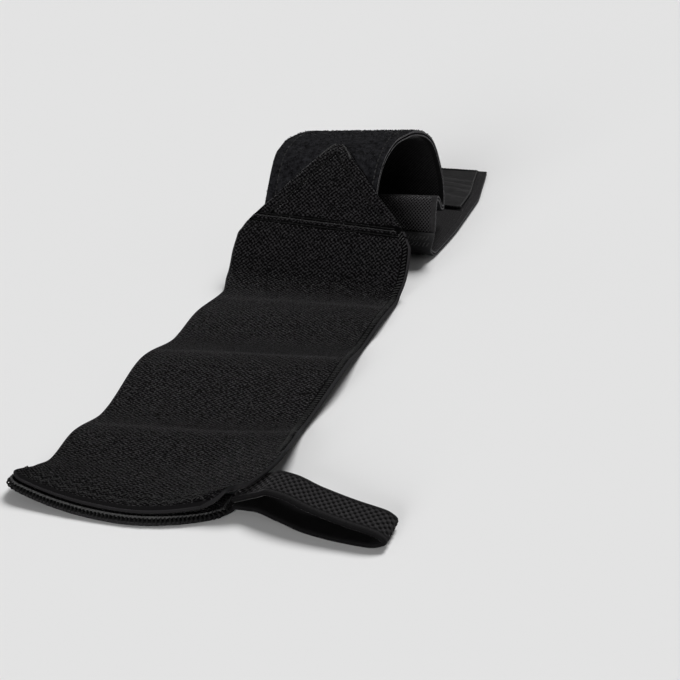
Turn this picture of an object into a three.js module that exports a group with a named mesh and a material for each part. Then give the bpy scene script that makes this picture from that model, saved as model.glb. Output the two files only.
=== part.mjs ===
// A wrist wrap for lifting, lying unrolled on a table. Millimetres, +Z up, +Y along the band.
// The elastic band runs away from its thumb loop to a pointed end. There the closure strap comes out from
// under the point, stands up in an arch, folds back under it and lies on the table with its tab face up.
import * as THREE from "three";

// Driving dimensions
const BAND_WIDTH = 76;
const BAND_THICK = 2.4;
const POINT_LENGTH = BAND_WIDTH / 2;
const POINT_BLUNT = 1.6;
const SEAM_WIDTH = 69;
const SEAM_DRIFT = 1.6;

const HEM_THICK = 1.8;

const LOOP_WIDTH = 16;
const LOOP_THICK = 1.6;

const STRAP_WIDTH = 51;
const WEB_THICK = 1;
const PILE_THICK = 1.3;
const HOOK_THICK = 1.2;
const PATCH_THICK = 1;
const PATCH_BORDER = 4.5;

const SEWN_GAP = 0.3;
const STITCHED_UNDER = 7;

// Lengths of strap, measured back from the tip of the tab
const HOOK_LENGTH = 147;
const PATCH_LENGTH = 62;

// The band from its near end to the foot of its climb. A row is a crest, a trough or a change of slope: y of
// the cloth, its rise above lying flat, the x of its middle line, then a pair for its left and right edge
// each: how far they flare past half the width, how much they lift and how much they lag. The slant of the
// crest is in mm ahead for each mm to the right.
const BAND_ROWS = [
  { y: -5, rise: 2.3, x: 2.5, flare: [4.5, -11.5], lift: [4.2, 1.4], lag: [7, 8.8] },
  { y: 2, rise: 2.3, x: 2.5, flare: [2.5, -6.4], lift: [3, 6.4], lag: [5, 4.9] },
  { y: 10, rise: 2.2, x: 2.7, flare: [0.6, -1], lift: [1.4, 7.2], lag: [3, 1.4] },
  { y: 26, rise: 1.4, x: 2.8, flare: [0, 2.8], lift: [0, 9], lag: [0, 1.6], slant: 0.04 },
  { y: 46, rise: 2.8, x: 2.8, flare: [0.4, 0.6], lift: [0, 3.8], slant: 0.11 },
  { y: 68, rise: 0, x: 2.6, flare: [-0.7, -2.6], lift: [0, 1], slant: 0.1 },
  { y: 107.4, rise: 6.1, x: 2.2, flare: [-1, 0.6], slant: 0.15 },
  { y: 146, rise: 0, x: 1.6, flare: [-0.6, -1.5], slant: 0.16 },
  { y: 170.5, rise: 2.2, x: 1.6, flare: [1, -0.4], lift: [-2, 0], slant: 0.07 },
  { y: 197.8, rise: 0, x: 1.4, flare: [-1.4, -0.9], slant: 0.09 },
  { y: 208, rise: 2.8, x: 0.8, flare: [0.6, 0] },
  { y: 214.5, rise: 9.8, x: 0.8, flare: [0.6, 1] },
];

// The second layer under the near end, with the same columns
const HEM_ROWS = [
  { y: -8, rise: 0, x: 2.5, flare: [5, -8], lift: [4, 0], lag: [8, 13] },
  { y: 2, rise: 0, x: 2.5, flare: [3, -6.5], lift: [2.4, 0], lag: [6, 9] },
  { y: 15, rise: 0, x: 2.5, flare: [1, -5], lift: [0.2, 0], lag: [3, 5] },
];

// The thumb loop from one sewn end, out along the table and back above itself to the other. A row is a bend:
// x of the tape, its rise above lying flat, and the y of its middle line.
const LOOP_ROWS = [
  { x: 33.5, rise: 2.1, y: 15 },
  { x: 40, rise: 2.1, y: 15 },
  { x: 49, rise: 0.8, y: 13 },
  { x: 58, rise: 0, y: 9.6 },
  { x: 68, rise: 0, y: 7 },
  { x: 79, rise: 0, y: 5.8 },
  { x: 84.2, rise: 1.9, y: 5.6 },
  { x: 81, rise: 4.1, y: 5.6 },
  { x: 72, rise: 5.5, y: 6.6 },
  { x: 60, rise: 7.4, y: 9 },
  { x: 50, rise: 8.9, y: 12.4 },
  { x: 45, rise: 8.7, y: 14 },
  { x: 42, rise: 7.4, y: 14.6 },
  { x: 38, rise: 5.8, y: 15 },
  { x: 33.5, rise: 4.1, y: 15 },
];

// The web of the strap from its hidden end to the tip of the tab. A row is a bend: y of the web, its rise
// over the height of the lying tab, the x of its middle line, its lean, in mm up for each mm to the right of
// the plane x = 0, and the flare of its edges as in the band's rows.
const STRAP_ROWS = [
  { y: 221.6, rise: 15, x: -2.5, flare: [0, -2] },
  { y: 231.5, rise: 27.5, x: -2.5, flare: [-0.4, -2.2] },
  { y: 241, rise: 39.5, x: -2.5, flare: [-0.4, -2.4] },
  { y: 248.5, rise: 45.8, x: -2, flare: [0, -2], lean: 0.03 },
  { y: 262, rise: 48.8, x: -1.2, flare: [0, -0.8], lean: 0.07 },
  { y: 274, rise: 48.2, x: 0.2, lean: 0.08 },
  { y: 290, rise: 44.6, x: 2, lean: 0.08 },
  { y: 302, rise: 39, x: 4, lean: 0.05 },
  { y: 309.5, rise: 30, x: 5.5, lean: 0.02 },
  { y: 312.5, rise: 21, x: 7 },
  { y: 306, rise: 10.6, x: 9.4 },
  { y: 292, rise: 13.5, x: 11.5, lean: 0.02 },
  { y: 274, rise: 21.5, x: 14, lean: 0.05 },
  { y: 265.5, rise: 24, x: 15, lean: 0.05 },
  { y: 259.4, rise: 18, x: 15.6, lean: 0.03 },
  { y: 258.6, rise: 10, x: 15.8, flare: [0, -0.4] },
  { y: 261, rise: 3.6, x: 15.7, flare: [0, -2] },
  { y: 268, rise: 0, x: 15.8, flare: [0, -1.2] },
  { y: 310, rise: 0, x: 16.6 },
  { y: 350, rise: 0, x: 16.6 },
  { y: 376, rise: 0, x: 14.2 },
  { y: 398, rise: 0.2, x: 12, lean: 0.015 },
];

// Facets: how many steps each piece takes along its path and across its width
const BAND_STEPS = 92;
const BAND_ACROSS = 8;
const POINT_STEPS = 15;
const HEM_STEPS = 8;
const LOOP_STEPS = 64;
const STRAP_STEP = 3.6;
const NARROW_ACROSS = 4;
const FINE_STEPS = 1600;

const UP = new THREE.Vector3(0, 0, 1);
const ALONG_BAND = new THREE.Vector3(0, 1, 0);
const ALONG_LOOP = new THREE.Vector3(1, 0, 0);
const FLAT = { flare: [0, 0], lift: [0, 0], lag: [0, 0], slant: 0, lean: 0 };

/** A table's rows with missing columns at zero, pairs split, and z, the height of the middle of the cloth. */
function laidOut(rows, restHeight) {
  return rows.map((row) => {
    const { rise, flare, lift, lag, ...columns } = { ...FLAT, ...row };
    const [leftFlare, rightFlare] = flare;
    const [leftLift, rightLift] = lift;
    const [leftLag, rightLag] = lag;
    const edges = { leftFlare, rightFlare, leftLift, rightLift, leftLag, rightLag };
    return { ...columns, ...edges, z: rise + restHeight };
  });
}

/** A smooth function through a table's column that never overshoots between two rows. */
function smoothColumn(places, values) {
  const last = places.length - 1;
  const rise = [];
  for (let i = 0; i < last; i += 1) rise.push((values[i + 1] - values[i]) / (places[i + 1] - places[i]));
  const slope = [rise[0]];
  for (let i = 1; i < last; i += 1) {
    const turnsBack = rise[i - 1] * rise[i] <= 0;
    slope.push(turnsBack ? 0 : (2 * rise[i - 1] * rise[i]) / (rise[i - 1] + rise[i]));
  }
  slope.push(rise[last - 1]);
  return (place) => {
    let i = 0;
    while (i < last - 1 && place > places[i + 1]) i += 1;
    const span = places[i + 1] - places[i];
    const t = THREE.MathUtils.clamp((place - places[i]) / span, 0, 1);
    const blend = t * t * (3 - 2 * t);
    const start = t * (1 - t) * (1 - t);
    const end = t * t * (t - 1);
    return values[i] + (values[i + 1] - values[i]) * blend + (slope[i] * start + slope[i + 1] * end) * span;
  };
}

/**
 * A path through a table's rows, in the upright plane along `forward`. Its stations carry the rows' other
 * columns, their distance along the path, and the normal on the left of travel.
 */
function makePath(rows, forward) {
  const places = [0];
  for (let i = 1; i < rows.length; i += 1) {
    const chord = Math.hypot(rows[i][forward] - rows[i - 1][forward], rows[i].z - rows[i - 1].z);
    places.push(places[i - 1] + chord);
  }
  const columns = {};
  for (const name of Object.keys(rows[0])) {
    columns[name] = smoothColumn(places, rows.map((row) => row[name]));
  }
  const stations = [];
  for (let i = 0; i <= FINE_STEPS; i += 1) {
    const place = (places.at(-1) * i) / FINE_STEPS;
    const station = { along: 0 };
    for (const name of Object.keys(columns)) station[name] = columns[name](place);
    const before = stations.at(-1);
    if (before) {
      station.along = before.along + Math.hypot(station[forward] - before[forward], station.z - before.z);
    }
    stations.push(station);
  }
  stations.forEach((station, i) => {
    const next = stations[Math.min(i + 1, FINE_STEPS)];
    const before = stations[Math.max(i - 1, 0)];
    const ahead = next[forward] - before[forward];
    const rise = next.z - before.z;
    const size = Math.hypot(ahead, rise);
    station.normalAhead = -rise / size;
    station.normalUp = ahead / size;
    station.forward = station[forward];
  });
  return { stations, length: stations.at(-1).along };
}

/** The path's station at a distance along it. */
function stationAt(path, along) {
  const found = path.stations.findIndex((station) => station.along >= along);
  const i = found < 1 ? (found === 0 ? 1 : FINE_STEPS) : found;
  const before = path.stations[i - 1];
  const after = path.stations[i];
  const t = THREE.MathUtils.clamp((along - before.along) / (after.along - before.along), 0, 1);
  const station = {};
  for (const name of Object.keys(before)) station[name] = THREE.MathUtils.lerp(before[name], after[name], t);
  return station;
}

/** Distances along a path in even steps. */
function evenly(from, to, steps) {
  return Array.from({ length: steps + 1 }, (unused, i) => THREE.MathUtils.lerp(from, to, i / steps));
}

/**
 * A closed thin wall along a path. `edges` gives each station's section: its middle line, the distance of its
 * left and right edges from it, and how they curl. The wall lies `offset` to the left of the path's travel.
 */
function stripGeometry({ path, direction, distances, edges, offset, thick, across }) {
  const sideways = new THREE.Vector3().crossVectors(direction, UP);
  const half = thick / 2;
  const rings = distances.map((along) => {
    const station = stationAt(path, along);
    const edge = edges(station);
    const point = (side, depth) => {
      const onLeft = side < edge.middle;
      const share = (side - edge.middle) / (onLeft ? edge.left : edge.right);
      const lift = (onLeft ? edge.leftLift : edge.rightLift) * share * share + edge.lean * side;
      const lag = (onLeft ? edge.leftLag : edge.rightLag) * share * share + edge.slant * side;
      return new THREE.Vector3()
        .addScaledVector(direction, station.forward + station.normalAhead * depth + lag)
        .addScaledVector(sideways, side)
        .addScaledVector(UP, station.z + station.normalUp * depth + lift);
    };
    const leftmost = edge.middle - edge.left;
    const rightmost = edge.middle + edge.right;
    const top = [];
    const bottom = [];
    for (let i = 0; i <= across; i += 1) {
      const side = THREE.MathUtils.lerp(leftmost + half, rightmost - half, i / across);
      top.push(point(side, offset + half));
      bottom.unshift(point(side, offset - half));
    }
    return [...top, point(rightmost, offset), ...bottom, point(leftmost, offset)];
  });

  const ringSize = rings[0].length;
  const faces = [];
  const quad = (a, b, c, d) => faces.push(a, b, c, a, c, d);
  for (let r = 0; r + 1 < rings.length; r += 1) {
    for (let i = 0; i < ringSize; i += 1) {
      const next = (i + 1) % ringSize;
      quad(r * ringSize + i, r * ringSize + next, (r + 1) * ringSize + next, (r + 1) * ringSize + i);
    }
  }
  for (const [start, flip] of [[0, true], [(rings.length - 1) * ringSize, false]]) {
    const under = (i) => start + 2 * across + 2 - i;
    const cap = (...corners) => {
      const turned = flip ? corners.reverse() : corners;
      for (let i = 1; i + 1 < turned.length; i += 1) faces.push(turned[0], turned[i], turned[i + 1]);
    };
    for (let i = 0; i < across; i += 1) cap(start + i, start + i + 1, under(i + 1), under(i));
    cap(start + across, start + across + 1, under(across));
    cap(under(0), start + ringSize - 1, start);
  }
  const coordinates = rings.flat().flatMap((corner) => corner.toArray());
  const geometry = new THREE.BufferGeometry();
  geometry.setAttribute("position", new THREE.Float32BufferAttribute(coordinates, 3));
  geometry.setIndex(faces);
  return geometry;
}

/** A named piece of cloth with its own finish. */
function clothMesh(name, geometry, color, roughness) {
  geometry.computeVertexNormals();
  const material = new THREE.MeshStandardMaterial({ color, roughness, metalness: 0 });
  const mesh = new THREE.Mesh(geometry, material);
  mesh.name = name;
  return mesh;
}

/** The sections of a strip: its width, its flares, and a middle line that drifts sideways by its table. */
function stripEdges(width, middleOf) {
  return (station) => ({
    ...station,
    middle: middleOf(station),
    left: width / 2 + station.leftFlare,
    right: width / 2 + station.rightFlare,
  });
}

const onBand = (station) => station.x;
const onLoop = (station) => -station.y;

const tabHeight = HOOK_THICK + SEWN_GAP + WEB_THICK / 2;
const strapPath = makePath(laidOut(STRAP_ROWS, tabHeight), "y");
const strapOuter = WEB_THICK / 2 + SEWN_GAP;
const tabSeamAt = strapPath.length - HOOK_LENGTH;

/** A layer of the strap between two distances along it, offset from the web's middle. */
function strapLayer(from, to, width, thick, offset) {
  return stripGeometry({
    path: strapPath,
    direction: ALONG_BAND,
    distances: evenly(from, to, Math.ceil((to - from) / STRAP_STEP)),
    edges: stripEdges(width, onBand),
    offset,
    thick,
    across: NARROW_ACROSS,
  });
}

function webStrap() {
  const geometry = strapLayer(0, strapPath.length, STRAP_WIDTH, WEB_THICK, 0);
  return clothMesh("web_strap", geometry, 0x17171a, 0.85);
}

function pileTape() {
  const geometry = strapLayer(0, tabSeamAt, STRAP_WIDTH, PILE_THICK, strapOuter + PILE_THICK / 2);
  return clothMesh("pile_tape", geometry, 0x101012, 0.98);
}

function hookTape() {
  const offset = -strapOuter - HOOK_THICK / 2;
  const geometry = strapLayer(tabSeamAt, strapPath.length, STRAP_WIDTH, HOOK_THICK, offset);
  return clothMesh("hook_tape", geometry, 0x121214, 0.7);
}

function satinPatch() {
  const width = STRAP_WIDTH - 2 * PATCH_BORDER;
  const end = strapPath.length - PATCH_BORDER;
  const geometry = strapLayer(end - PATCH_LENGTH, end, width, PATCH_THICK, strapOuter + PATCH_THICK / 2);
  return clothMesh("satin_patch", geometry, 0x1d1c20, 0.45);
}

/** The band: its lying rows, then rows that follow the strap's front leg up to the blunt tip of the point. */
function elasticBand() {
  const lift = strapOuter + PILE_THICK + SEWN_GAP + BAND_THICK / 2;
  const pointRows = evenly(0, STITCHED_UNDER + POINT_LENGTH, POINT_STEPS).map((along) => {
    const station = stationAt(strapPath, along);
    const beforeSeam = Math.max(0, STITCHED_UNDER - along) / STITCHED_UNDER;
    const pastSeam = Math.max(0, along - STITCHED_UNDER) / POINT_LENGTH;
    const widest = THREE.MathUtils.lerp(SEAM_WIDTH, BAND_WIDTH, beforeSeam);
    const flare = (THREE.MathUtils.lerp(widest, 2 * POINT_BLUNT, pastSeam) - BAND_WIDTH) / 2;
    return {
      y: station.forward + station.normalAhead * lift,
      rise: station.z + station.normalUp * lift - BAND_THICK / 2,
      x: THREE.MathUtils.lerp(SEAM_DRIFT, 0, pastSeam),
      flare: [flare, flare],
      lean: station.lean,
    };
  });
  const path = makePath(laidOut([...BAND_ROWS, ...pointRows], BAND_THICK / 2), "y");
  const geometry = stripGeometry({
    path,
    direction: ALONG_BAND,
    distances: evenly(0, path.length, BAND_STEPS),
    edges: stripEdges(BAND_WIDTH, onBand),
    offset: 0,
    thick: BAND_THICK,
    across: BAND_ACROSS,
  });
  return clothMesh("elastic_band", geometry, 0x1c1c1f, 0.9);
}

function endHem() {
  const path = makePath(laidOut(HEM_ROWS, HEM_THICK / 2), "y");
  const geometry = stripGeometry({
    path,
    direction: ALONG_BAND,
    distances: evenly(0, path.length, HEM_STEPS),
    edges: stripEdges(BAND_WIDTH, onBand),
    offset: 0,
    thick: HEM_THICK,
    across: BAND_ACROSS,
  });
  return clothMesh("end_hem", geometry, 0x18181b, 0.9);
}

function thumbLoop() {
  const path = makePath(laidOut(LOOP_ROWS, LOOP_THICK / 2), "x");
  const geometry = stripGeometry({
    path,
    direction: ALONG_LOOP,
    distances: evenly(0, path.length, LOOP_STEPS),
    edges: stripEdges(LOOP_WIDTH, onLoop),
    offset: 0,
    thick: LOOP_THICK,
    across: NARROW_ACROSS,
  });
  return clothMesh("thumb_loop", geometry, 0x161618, 0.85);
}

const wrap = new THREE.Group();
wrap.add(elasticBand(), endHem(), thumbLoop(), webStrap(), pileTape(), hookTape(), satinPatch());

// The origin is the middle of the box that the lying wrap fills, on the table
const box = new THREE.Box3().setFromObject(wrap);
const centre = box.getCenter(new THREE.Vector3());
wrap.position.set(-centre.x, -centre.y, -box.min.z);

export default wrap;
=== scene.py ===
# %% [markdown]
# # A lifting wrist wrap, lying unrolled
# A wrist wrap is a strip of woven elastic that is wound round the wrist. A thumb loop at one end keeps it
# in place while it is wound, and a strap of hook and pile tape at the other end closes it. This lesson lays
# one out on a pale table: the band in low waves, its pointed end climbing onto the strap, the strap in an
# arch and a fold. Every piece is cloth, so one idea carries the whole file. A piece is a path that runs
# along the cloth, and a section that is drawn across it. Threads are then laid on the cloth by Geometry
# Nodes.

# %% Load the solids that the looks are built round
import math

import bpy
import numpy as np
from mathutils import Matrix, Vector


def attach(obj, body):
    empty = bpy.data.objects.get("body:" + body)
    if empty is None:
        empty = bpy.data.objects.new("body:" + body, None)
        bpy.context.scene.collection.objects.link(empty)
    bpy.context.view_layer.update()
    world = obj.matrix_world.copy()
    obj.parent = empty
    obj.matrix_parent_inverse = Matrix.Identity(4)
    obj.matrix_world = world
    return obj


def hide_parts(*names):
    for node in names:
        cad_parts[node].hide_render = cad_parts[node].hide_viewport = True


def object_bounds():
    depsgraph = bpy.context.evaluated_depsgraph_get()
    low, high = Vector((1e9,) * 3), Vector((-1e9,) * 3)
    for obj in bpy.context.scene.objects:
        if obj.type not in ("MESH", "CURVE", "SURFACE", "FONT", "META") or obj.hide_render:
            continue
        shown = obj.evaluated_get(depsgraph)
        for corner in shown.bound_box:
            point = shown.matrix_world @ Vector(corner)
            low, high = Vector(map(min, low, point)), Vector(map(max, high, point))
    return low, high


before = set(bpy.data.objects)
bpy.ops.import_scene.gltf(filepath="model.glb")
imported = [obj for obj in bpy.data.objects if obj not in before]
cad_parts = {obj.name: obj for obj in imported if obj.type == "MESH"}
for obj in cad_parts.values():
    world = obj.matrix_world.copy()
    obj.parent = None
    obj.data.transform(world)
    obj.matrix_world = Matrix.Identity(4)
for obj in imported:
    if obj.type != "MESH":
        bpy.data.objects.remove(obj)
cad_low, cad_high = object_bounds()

print("solids:", sorted(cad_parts))

# %% [markdown]
# ## Sizes and tables
# The tapes come in standard widths, so a few sizes drive everything. The way the cloth lies is written as
# short tables in millimetres, one row for each crest, trough or bend, because that is how one would
# describe it to a friend. A smooth curve through each column fills in what is between the rows.

# %% Sizes in metres
MM = 0.001
BAND_WIDTH = 76 * MM
BAND_THICK = 2.4 * MM
POINT_LENGTH = BAND_WIDTH / 2
POINT_BLUNT = 1.6 * MM
SEAM_WIDTH = 69 * MM
SEAM_DRIFT = 1.6 * MM
HEM_THICK = 1.8 * MM
LOOP_WIDTH = 16 * MM
LOOP_THICK = 1.6 * MM
STRAP_WIDTH = 51 * MM
WEB_THICK = 1 * MM
PILE_THICK = 1.3 * MM
HOOK_THICK = 1.2 * MM
PATCH_THICK = 1 * MM
PATCH_BORDER = 4.5 * MM
SEWN_GAP = 0.3 * MM
STITCHED_UNDER = 7 * MM
HOOK_LENGTH = 147 * MM
PATCH_LENGTH = 62 * MM

# %% How the cloth lies, in millimetres: pairs are for the left and the right edge
BAND_ROWS = [
    dict(y=-5, rise=2.3, x=2.5, flare=(4.5, -11.5), lift=(4.2, 1.4), lag=(7, 8.8)),
    dict(y=2, rise=2.3, x=2.5, flare=(2.5, -6.4), lift=(3, 6.4), lag=(5, 4.9)),
    dict(y=10, rise=2.2, x=2.7, flare=(0.6, -1), lift=(1.4, 7.2), lag=(3, 1.4)),
    dict(y=26, rise=1.4, x=2.8, flare=(0, 2.8), lift=(0, 9), lag=(0, 1.6), slant=0.04),
    dict(y=46, rise=2.8, x=2.8, flare=(0.4, 0.6), lift=(0, 3.8), slant=0.11),
    dict(y=68, rise=0, x=2.6, flare=(-0.7, -2.6), lift=(0, 1), slant=0.1),
    dict(y=107.4, rise=6.1, x=2.2, flare=(-1, 0.6), slant=0.15),
    dict(y=146, rise=0, x=1.6, flare=(-0.6, -1.5), slant=0.16),
    dict(y=170.5, rise=2.2, x=1.6, flare=(1, -0.4), lift=(-2, 0), slant=0.07),
    dict(y=197.8, rise=0, x=1.4, flare=(-1.4, -0.9), slant=0.09),
    dict(y=208, rise=2.8, x=0.8, flare=(0.6, 0)),
    dict(y=214.5, rise=9.8, x=0.8, flare=(0.6, 1)),
]
HEM_ROWS = [
    dict(y=-8, rise=0, x=2.5, flare=(5, -8), lift=(4, 0), lag=(8, 13)),
    dict(y=2, rise=0, x=2.5, flare=(3, -6.5), lift=(2.4, 0), lag=(6, 9)),
    dict(y=15, rise=0, x=2.5, flare=(1, -5), lift=(0.2, 0), lag=(3, 5)),
]
LOOP_ROWS = [
    dict(x=33.5, rise=2.1, y=15),
    dict(x=40, rise=2.1, y=15),
    dict(x=49, rise=0.8, y=13),
    dict(x=58, rise=0, y=9.6),
    dict(x=68, rise=0, y=7),
    dict(x=79, rise=0, y=5.8),
    dict(x=84.2, rise=1.9, y=5.6),
    dict(x=81, rise=4.1, y=5.6),
    dict(x=72, rise=5.5, y=6.6),
    dict(x=60, rise=7.4, y=9),
    dict(x=50, rise=8.9, y=12.4),
    dict(x=45, rise=8.7, y=14),
    dict(x=42, rise=7.4, y=14.6),
    dict(x=38, rise=5.8, y=15),
    dict(x=33.5, rise=4.1, y=15),
]
STRAP_ROWS = [
    dict(y=221.6, rise=15, x=-2.5, flare=(0, -2)),
    dict(y=231.5, rise=27.5, x=-2.5, flare=(-0.4, -2.2)),
    dict(y=241, rise=39.5, x=-2.5, flare=(-0.4, -2.4)),
    dict(y=248.5, rise=45.8, x=-2, flare=(0, -2), lean=0.03),
    dict(y=262, rise=48.8, x=-1.2, flare=(0, -0.8), lean=0.07),
    dict(y=274, rise=48.2, x=0.2, lean=0.08),
    dict(y=290, rise=44.6, x=2, lean=0.08),
    dict(y=302, rise=39, x=4, lean=0.05),
    dict(y=309.5, rise=30, x=5.5, lean=0.02),
    dict(y=312.5, rise=21, x=7),
    dict(y=306, rise=10.6, x=9.4),
    dict(y=292, rise=13.5, x=11.5, lean=0.02),
    dict(y=274, rise=21.5, x=14, lean=0.05),
    dict(y=265.5, rise=24, x=15, lean=0.05),
    dict(y=259.4, rise=18, x=15.6, lean=0.03),
    dict(y=258.6, rise=10, x=15.8, flare=(0, -0.4)),
    dict(y=261, rise=3.6, x=15.7, flare=(0, -2)),
    dict(y=268, rise=0, x=15.8, flare=(0, -1.2)),
    dict(y=310, rise=0, x=16.6),
    dict(y=350, rise=0, x=16.6),
    dict(y=376, rise=0, x=14.2),
    dict(y=398, rise=0.2, x=12, lean=0.015),
]
print("rows:", len(BAND_ROWS), len(HEM_ROWS), len(LOOP_ROWS), len(STRAP_ROWS))

# %% [markdown]
# ## From a table to a path
# A path could be a Bezier curve object, but then every point of the cloth would have to ask Blender where
# it is. Here a path is plain arrays. Each column is a cubic that never overshoots between two rows, so a
# trough that touches the table stays on it.

# %% Smooth columns and paths
FINE_STEPS = 1600


def laid_out(rows, rest_height):
    """A table's columns in metres, with missing columns at zero and pairs split into left and right."""
    columns = {}
    for name in ("x", "y", "rise"):
        columns[name] = np.array([row[name] for row in rows]) * MM
    for name in ("flare", "lift", "lag"):
        pairs = np.array([row.get(name, (0, 0)) for row in rows]) * MM
        columns["left_" + name] = pairs[:, 0]
        columns["right_" + name] = pairs[:, 1]
    for name in ("slant", "lean"):
        columns[name] = np.array([row.get(name, 0.0) for row in rows])
    columns["z"] = columns.pop("rise") + rest_height
    return columns


def smooth_column(places, values):
    """A smooth function through a column that never overshoots between two rows."""
    rise = np.diff(values) / np.diff(places)
    product = rise[:-1] * rise[1:]
    turns_back = product <= 0
    total = np.where(turns_back, 1, rise[:-1] + rise[1:])
    slope = np.concatenate([rise[:1], np.where(turns_back, 0, 2 * product / total), rise[-1:]])

    def value(place):
        i = np.clip(np.searchsorted(places, place) - 1, 0, len(rise) - 1)
        span = places[i + 1] - places[i]
        t = np.clip((place - places[i]) / span, 0, 1)
        blend = values[i] + (values[i + 1] - values[i]) * t * t * (3 - 2 * t)
        return blend + (slope[i] * t * (1 - t) ** 2 + slope[i + 1] * t * t * (t - 1)) * span

    return value


def make_path(columns, ahead):
    """The columns at close stations, with the distance along and the normal on the left of travel."""
    chords = np.hypot(np.diff(columns[ahead]), np.diff(columns["z"]))
    places = np.concatenate([[0], np.cumsum(chords)])
    fine = np.linspace(0, places[-1], FINE_STEPS + 1)
    path = {name: smooth_column(places, column)(fine) for name, column in columns.items()}
    steps = np.hypot(np.diff(path[ahead]), np.diff(path["z"]))
    path["along"] = np.concatenate([[0], np.cumsum(steps)])
    forward = np.gradient(path[ahead])
    upward = np.gradient(path["z"])
    path["normal_ahead"] = -upward / np.hypot(forward, upward)
    path["normal_up"] = forward / np.hypot(forward, upward)
    return path


def at(path, along):
    """A path's columns at distances along it."""
    return {name: np.interp(along, path["along"], column) for name, column in path.items()}


strap_path = make_path(laid_out(STRAP_ROWS, HOOK_THICK + SEWN_GAP + WEB_THICK / 2), "y")
strap_length = strap_path["along"][-1]
print(f"strap: {strap_length / MM:.1f} mm")

# %% [markdown]
# ## A piece of cloth
# The section across a cloth is a flat oval, and it may curl, lag and lean from row to row. Sweeping a curve
# with a bevel would keep the section upright, so the class below works out each point instead. The same
# call then serves the mesh, the threads on it and the hooks under it. The tables start from the band's near
# end. The solids are centred, and the hem's left corner and the tip of the tab tell how far the tables are
# shifted.

# %% Where a place on the cloth lies
hem_left = (HEM_ROWS[0]["x"] - HEM_ROWS[0]["flare"][0]) * MM - BAND_WIDTH / 2
tab_tip = STRAP_ROWS[-1]["y"] * MM
SHIFT = np.array([cad_low.x - hem_left, cad_high.y - tab_tip, 0])
POINT_ROWS = 16


class Cloth:
    """One woven piece, as a path with a width, a thickness and an offset from the path."""

    def __init__(self, path, width, thick, offset=0.0, ahead="y"):
        self.path = path
        self.width = width
        self.thick = thick
        self.offset = offset
        self.ahead = ahead
        self.length = path["along"][-1]

    def reach(self, along):
        """How far the left and the right edge lie from the middle line."""
        row = at(self.path, along)
        return self.width / 2 + row["left_flare"], self.width / 2 + row["right_flare"]

    def point(self, along, side, depth):
        """The place at a distance along, a distance to the right of the middle line and a height over it."""
        row = at(self.path, along)
        left, right = self.reach(along)
        on_left = side < 0
        share = side / np.where(on_left, left, right)
        lift = np.where(on_left, row["left_lift"], row["right_lift"]) * share**2
        lag = np.where(on_left, row["left_lag"], row["right_lag"]) * share**2
        out = depth + self.offset
        across = side + (row["x"] if self.ahead == "y" else -row["y"])
        forward = row[self.ahead] + row["normal_ahead"] * out + lag + row["slant"] * across
        height = row["z"] + row["normal_up"] * out + lift + row["lean"] * across
        place = (across, forward, height) if self.ahead == "y" else (forward, -across, height)
        return np.stack(np.broadcast_arrays(*place), axis=-1) + SHIFT


def band_columns():
    """The band's own rows, then rows that follow the strap's front leg up to the tip of the point."""
    columns = laid_out(BAND_ROWS, BAND_THICK / 2)
    along = np.linspace(0, STITCHED_UNDER + POINT_LENGTH, POINT_ROWS)
    under = at(strap_path, along)
    before_seam = np.maximum(0, STITCHED_UNDER - along) / STITCHED_UNDER
    past_seam = np.maximum(0, along - STITCHED_UNDER) / POINT_LENGTH
    lift = WEB_THICK / 2 + 2 * SEWN_GAP + PILE_THICK + BAND_THICK / 2
    widest = SEAM_WIDTH + (BAND_WIDTH - SEAM_WIDTH) * before_seam
    flare = (widest + (2 * POINT_BLUNT - widest) * past_seam - BAND_WIDTH) / 2
    point = {
        "x": SEAM_DRIFT * (1 - past_seam),
        "y": under["y"] + under["normal_ahead"] * lift,
        "z": under["z"] + under["normal_up"] * lift,
        "left_flare": flare,
        "right_flare": flare,
        "lean": under["lean"],
    }
    flat = np.zeros(len(along))
    return {name: np.concatenate([column, point.get(name, flat)]) for name, column in columns.items()}


strap_outer = WEB_THICK / 2 + SEWN_GAP
tab_seam = strap_length - HOOK_LENGTH
band = Cloth(make_path(band_columns(), "y"), BAND_WIDTH, BAND_THICK)
seam_at = band.length - POINT_LENGTH
hem = Cloth(make_path(laid_out(HEM_ROWS, HEM_THICK / 2), "y"), BAND_WIDTH, HEM_THICK)
loop = Cloth(make_path(laid_out(LOOP_ROWS, LOOP_THICK / 2), "x"), LOOP_WIDTH, LOOP_THICK, ahead="x")
web = Cloth(strap_path, STRAP_WIDTH, WEB_THICK)
pile = Cloth(strap_path, STRAP_WIDTH, PILE_THICK, strap_outer + PILE_THICK / 2)
patch_width = STRAP_WIDTH - 2 * PATCH_BORDER
patch = Cloth(strap_path, patch_width, PATCH_THICK, strap_outer + PATCH_THICK / 2)
print(f"band: {band.length / MM:.1f} mm, loop: {loop.length / MM:.1f} mm, hem: {hem.length / MM:.1f} mm")

# %% [markdown]
# ## Node helpers
# Materials and Geometry Nodes are both trees of nodes. A node's output is wrapped in a small class that
# knows plus, times and less than, so that the trees below read like sums and recipes.

# %% Sums with the outputs of nodes
def sum_of(operation):
    """A method that feeds an output and another value to one sum."""
    return lambda self, other: calc(operation, self, other)


class Output:
    """One output of a node, which can be added, multiplied and compared like a number."""

    def __init__(self, tree, socket):
        self.tree = tree
        self.socket = socket

    __add__ = sum_of("ADD")
    __sub__ = sum_of("SUBTRACT")
    __mul__ = sum_of("MULTIPLY")
    __truediv__ = sum_of("DIVIDE")
    __lt__ = sum_of("LESS_THAN")
    __gt__ = sum_of("GREATER_THAN")

    def beside(self, name):
        """Another output of the same node."""
        return Output(self.tree, self.socket.node.outputs[name])


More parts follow.
